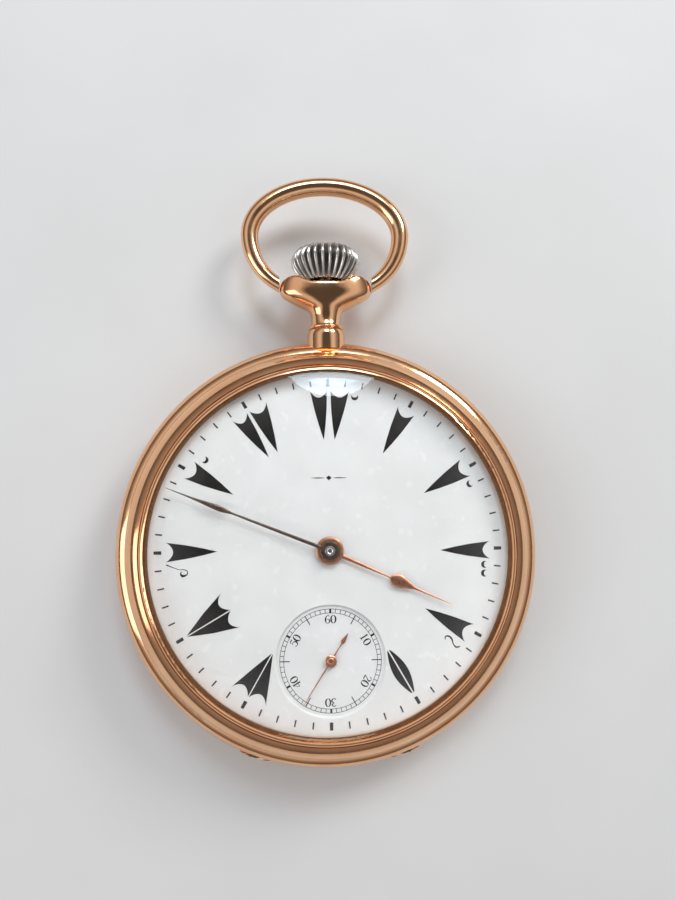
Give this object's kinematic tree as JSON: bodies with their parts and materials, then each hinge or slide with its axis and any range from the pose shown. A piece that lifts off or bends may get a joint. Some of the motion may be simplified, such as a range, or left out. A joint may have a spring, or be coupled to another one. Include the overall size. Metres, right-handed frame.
{
  "type": "pocket watch",
  "caption": "Open-face keyless pocket watch: round rose-gold case with hinged back, bow, ribbed crown, enamel dial and a full going train.",
  "frame": {"origin": "on the hands' axis, in the flat outside face of the back lid", "axes": "+Z out of the dial towards the viewer, +Y towards 12 o'clock and the crown, +X towards 3 o'clock"},
  "size_m": [0.053, 0.0755, 0.0129],
  "materials": {
    "rose_gold": "polished rose gold",
    "crystal_glass": "clear, polished",
    "crown_steel": "worn, fine ribs",
    "gilt_plate": "gilt, fine grained",
    "nickel_bridge": "nickel finish with striping",
    "screw_blue": "blued and polished",
    "steel_part": "polished steel",
    "train_brass": "gilt, polished",
    "jewel_ruby": "red synthetic jewel",
    "enamel": "glossy fired enamel on copper, printed in black",
    "copper_foot": "copper",
    "hand_gold": "polished rose gold",
    "spring_blue": "blued spring steel"
  },
  "bodies": {
    "case": {"case_middle": "rose_gold", "pendant": "rose_gold", "hinge_pins": "rose_gold", "case_screws": "screw_blue", "mainplate": "gilt_plate", "barrel_bridge": "nickel_bridge", "train_bridge": "nickel_bridge", "pallet_bridge": "nickel_bridge", "balance_cock": "nickel_bridge", "movement_screws": "screw_blue", "jewels": "jewel_ruby", "dial": "enamel", "seconds_dial": "enamel", "dial_feet": "copper_foot", "crown_wheel_core": "steel_part", "click_spring": "steel_part", "setting_spring": "steel_part", "hairspring": "spring_blue"},
    "bow": {"bow": "rose_gold"},
    "back_lid": {"back_cover": "rose_gold"},
    "inner_lid": {"cuvette": "rose_gold"},
    "bezel_ring": {"bezel": "rose_gold", "crystal": "crystal_glass"},
    "centre": {"centre_pinion": "steel_part", "centre_wheel": "train_brass", "cannon_pinion": "steel_part", "minute_hand": "hand_gold"},
    "third": {"third_pinion": "steel_part", "third_wheel": "train_brass"},
    "fourth": {"fourth_pinion": "steel_part", "fourth_wheel": "train_brass", "seconds_hand": "hand_gold"},
    "escape": {"escape_pinion": "steel_part", "escape_wheel": "steel_part"},
    "barrel_drum": {"barrel": "train_brass", "barrel_cover": "train_brass", "mainspring": "spring_blue"},
    "minute_work": {"minute_wheel": "train_brass"},
    "hour_work": {"hour_wheel": "train_brass", "hour_hand": "hand_gold"},
    "setting": {"setting_wheel": "steel_part"},
    "ratchet": {"ratchet_wheel": "steel_part", "ratchet_screw": "screw_blue", "barrel_arbor": "steel_part"},
    "crown_gear": {"crown_wheel": "steel_part"},
    "winder": {"winding_pinion": "steel_part"},
    "stem": {"winding_stem": "steel_part", "crown": "crown_steel"},
    "clutch": {"sliding_clutch": "steel_part"},
    "lever": {"setting_lever": "steel_part"},
    "yoke_arm": {"yoke": "steel_part"},
    "click_arm": {"click": "steel_part"},
    "index": {"regulator": "steel_part"},
    "fork": {"pallet_fork": "steel_part", "pallet_stones": "jewel_ruby"},
    "balance": {"balance_wheel": "train_brass", "balance_staff": "steel_part", "roller": "train_brass"}
  },
  "joints": [
    {"name": "bow_swing", "type": "hinge", "parent": "case", "child": "bow", "pos_m": [0, 0.03445, 0.0053], "axis": [1, 0, 0], "range_deg": [-88, 88]},
    {"name": "back_lid_open", "type": "hinge", "parent": "case", "child": "back_lid", "pos_m": [0, -0.0254, 0.0034], "axis": [-1, 0, 0], "range_deg": [0, 100]},
    {"name": "inner_lid_open", "type": "hinge", "parent": "case", "child": "inner_lid", "pos_m": [0, -0.0216, 0.0025], "axis": [-1, 0, 0], "range_deg": [0, 85]},
    {"name": "bezel_lift", "type": "slide", "parent": "case", "child": "bezel_ring", "axis": [0, 0, 1], "range_m": [0, 0.012]},
    {"name": "minute_turn", "type": "hinge", "parent": "case", "child": "centre", "pos_m": [0, 0, 0], "axis": [0, 0, -1], "continuous": true},
    {"name": "third_turn", "type": "hinge", "parent": "case", "child": "third", "pos_m": [0.00444, -0.0073, 0], "axis": [0, 0, -1], "continuous": true},
    {"name": "seconds_turn", "type": "hinge", "parent": "case", "child": "fourth", "pos_m": [0, -0.013, 0], "axis": [0, 0, -1], "continuous": true},
    {"name": "escape_turn", "type": "hinge", "parent": "case", "child": "escape", "pos_m": [-0.00558, -0.013, 0], "axis": [0, 0, -1], "continuous": true},
    {"name": "barrel_turn", "type": "hinge", "parent": "case", "child": "barrel_drum", "pos_m": [-0.00801, 0.0054, 0], "axis": [0, 0, -1], "continuous": true},
    {"name": "minute_wheel_turn", "type": "hinge", "parent": "case", "child": "minute_work", "pos_m": [0.00131, 0.00361, 0], "axis": [0, 0, -1], "continuous": true},
    {"name": "hour_turn", "type": "hinge", "parent": "case", "child": "hour_work", "pos_m": [0, 0, 0], "axis": [0, 0, -1], "continuous": true},
    {"name": "setting_turn", "type": "hinge", "parent": "case", "child": "setting", "pos_m": [0, 0.00823, 0], "axis": [0, 0, -1], "continuous": true},
    {"name": "crown_turn", "type": "hinge", "parent": "case", "child": "winder", "pos_m": [0, 0, 0.0053], "axis": [0, 1, 0], "continuous": true},
    {"name": "crown_wheel_turn", "type": "hinge", "parent": "case", "child": "crown_gear", "pos_m": [0, 0.0115, 0], "axis": [0, 0, -1], "continuous": true},
    {"name": "ratchet_turn", "type": "hinge", "parent": "case", "child": "ratchet", "pos_m": [-0.00801, 0.0054, 0], "axis": [0, 0, -1], "continuous": true},
    {"name": "crown_pull", "type": "slide", "parent": "winder", "child": "stem", "axis": [0, 1, 0], "range_m": [0, 0.0012]},
    {"name": "clutch_shift", "type": "slide", "parent": "winder", "child": "clutch", "axis": [0, -1, 0], "range_m": [0, 0.001]},
    {"name": "lever_swing", "type": "hinge", "parent": "case", "child": "lever", "pos_m": [0.0032, 0.017, 0], "axis": [0, 0, -1], "range_deg": [0, 21.6]},
    {"name": "yoke_swing", "type": "hinge", "parent": "case", "child": "yoke_arm", "pos_m": [-0.004, 0.0155, 0], "axis": [0, 0, -1], "range_deg": [0, 14.5]},
    {"name": "click_lift", "type": "hinge", "parent": "case", "child": "click_arm", "pos_m": [-0.00943, 0.01348, 0], "axis": [0, 0, 1], "range_deg": [-3, 6]},
    {"name": "regulator_shift", "type": "hinge", "parent": "case", "child": "index", "pos_m": [-0.0119, -0.0088, 0], "axis": [0, 0, 1], "range_deg": [-18, 18]},
    {"name": "fork_rock", "type": "hinge", "parent": "case", "child": "fork", "pos_m": [-0.00825, -0.01123, 0], "axis": [0, 0, 1], "range_deg": [-5, 5]},
    {"name": "balance_swing", "type": "hinge", "parent": "case", "child": "balance", "pos_m": [-0.0119, -0.0088, 0], "axis": [0, 0, 1], "range_deg": [-270, 270]}
  ],
  "couplings": [
    {"joint": "inner_lid_open", "follows": "back_lid_open", "ratio": 0.85},
    {"joint": "barrel_turn", "follows": "minute_turn", "ratio": -0.15},
    {"joint": "third_turn", "follows": "minute_turn", "ratio": -8},
    {"joint": "seconds_turn", "follows": "minute_turn", "ratio": 60},
    {"joint": "escape_turn", "follows": "minute_turn", "ratio": -600},
    {"joint": "minute_wheel_turn", "follows": "minute_turn", "ratio": -0.33333},
    {"joint": "hour_turn", "follows": "minute_turn", "ratio": 0.083333},
    {"joint": "setting_turn", "follows": "minute_turn", "ratio": 0.5},
    {"joint": "crown_wheel_turn", "follows": "crown_turn", "ratio": 0.4},
    {"joint": "ratchet_turn", "follows": "crown_turn", "ratio": -0.24242},
    {"joint": "clutch_shift", "follows": "crown_pull", "ratio": 0.8},
    {"joint": "lever_swing", "follows": "crown_pull", "rad_per_m": 312.7},
    {"joint": "yoke_swing", "follows": "crown_pull", "rad_per_m": 203.62}
  ]
}
